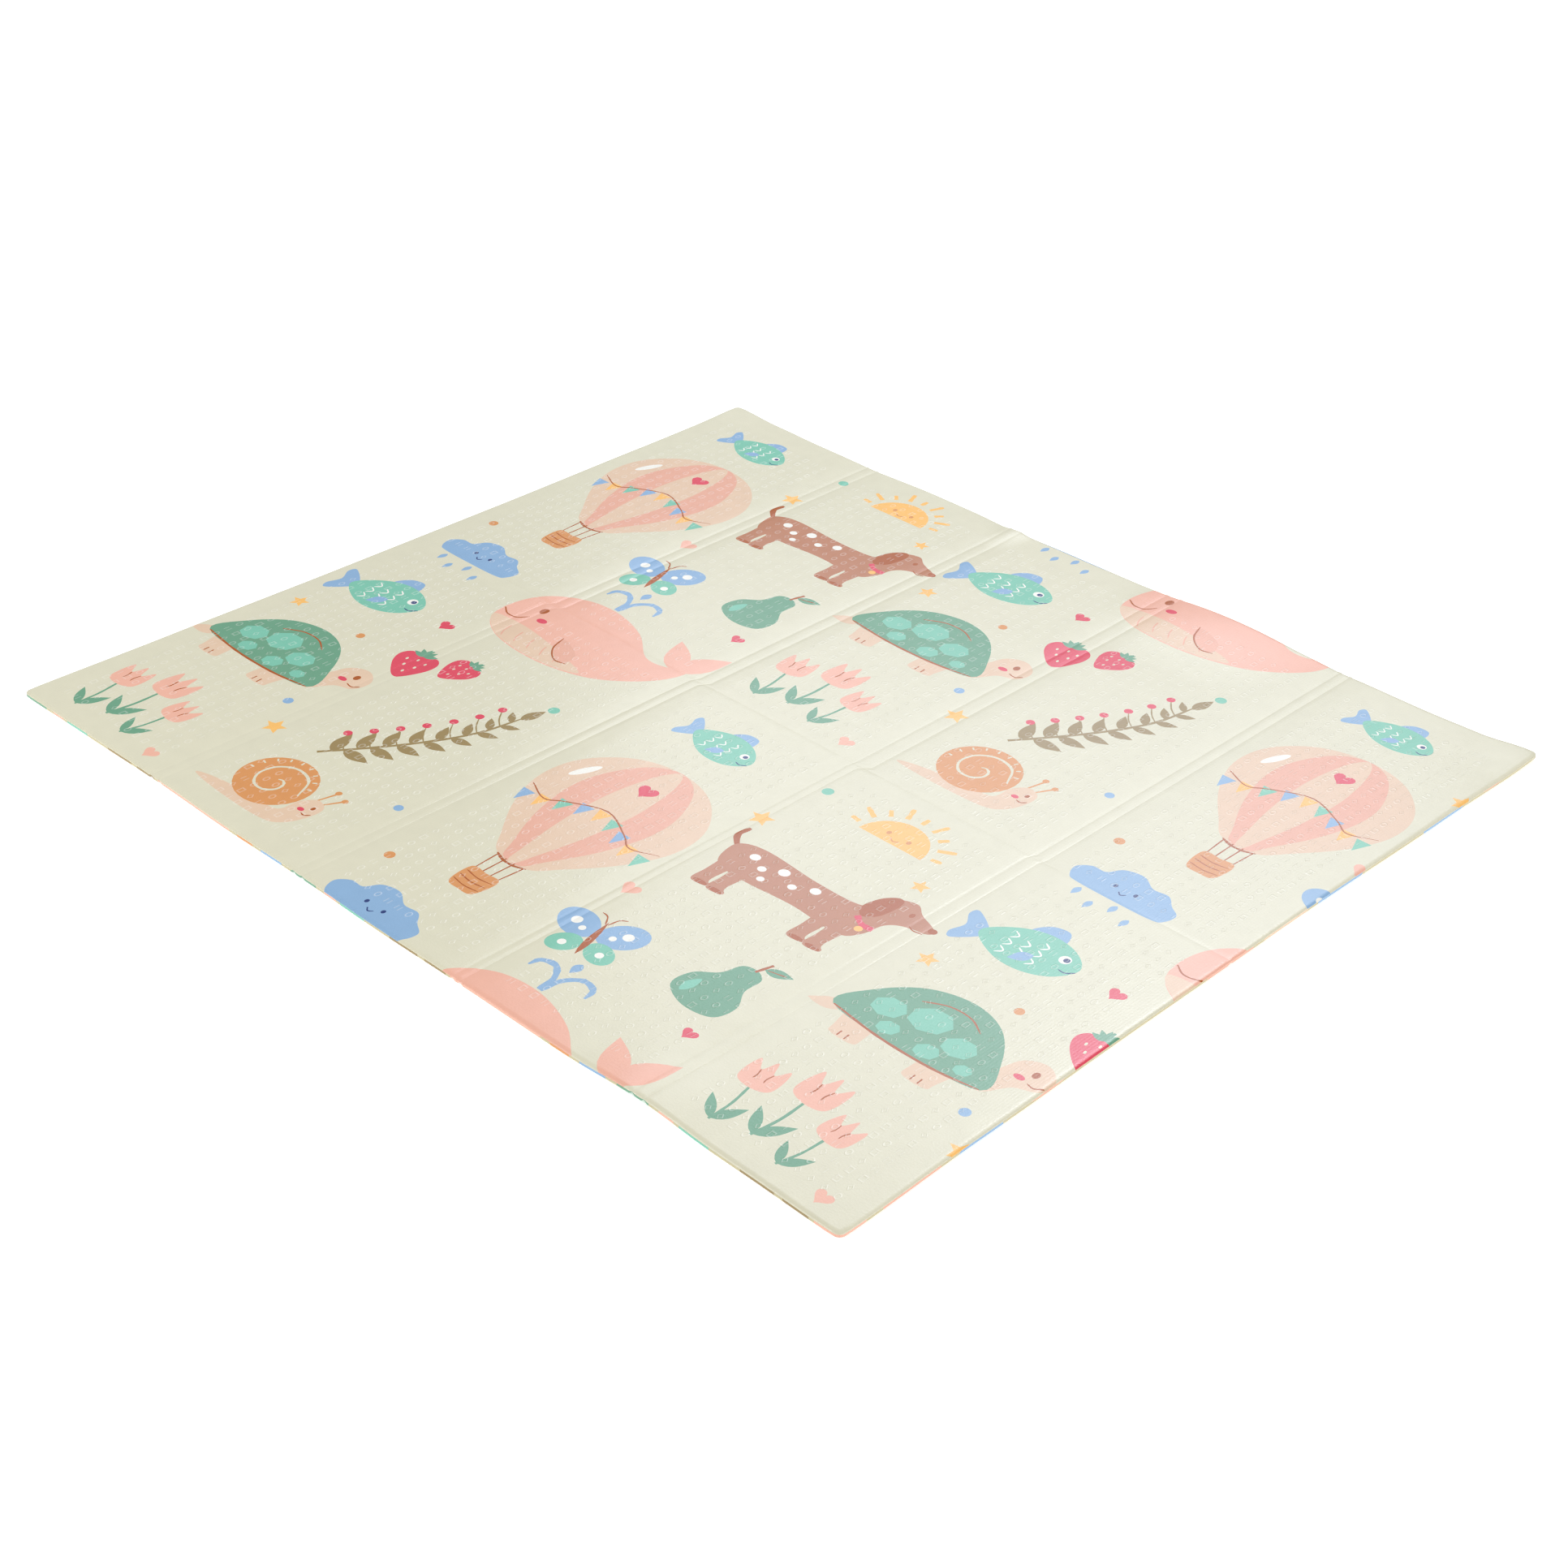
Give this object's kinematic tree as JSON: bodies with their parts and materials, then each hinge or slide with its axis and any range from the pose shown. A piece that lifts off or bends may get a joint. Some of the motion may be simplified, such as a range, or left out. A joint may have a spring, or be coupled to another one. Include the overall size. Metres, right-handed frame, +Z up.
{
  "type": "foldable thermal mat",
  "caption": "Rectangular foam mat with patterned film on both faces, lying open and flat, with creased hinge bands across it and a half-fold line along it.",
  "frame": {"origin": "middle of the underside", "axes": "+X across the folds, +Y along the folds, +Z up"},
  "size_m": [1.9997, 1.7992, 0.02],
  "materials": {
    "laminated_film": "satin embossed film over closed-cell foam, printed in soft pink, green, blue and brown"
  },
  "bodies": {
    "root": {"mat": "laminated_film"}
  },
  "joints": []
}
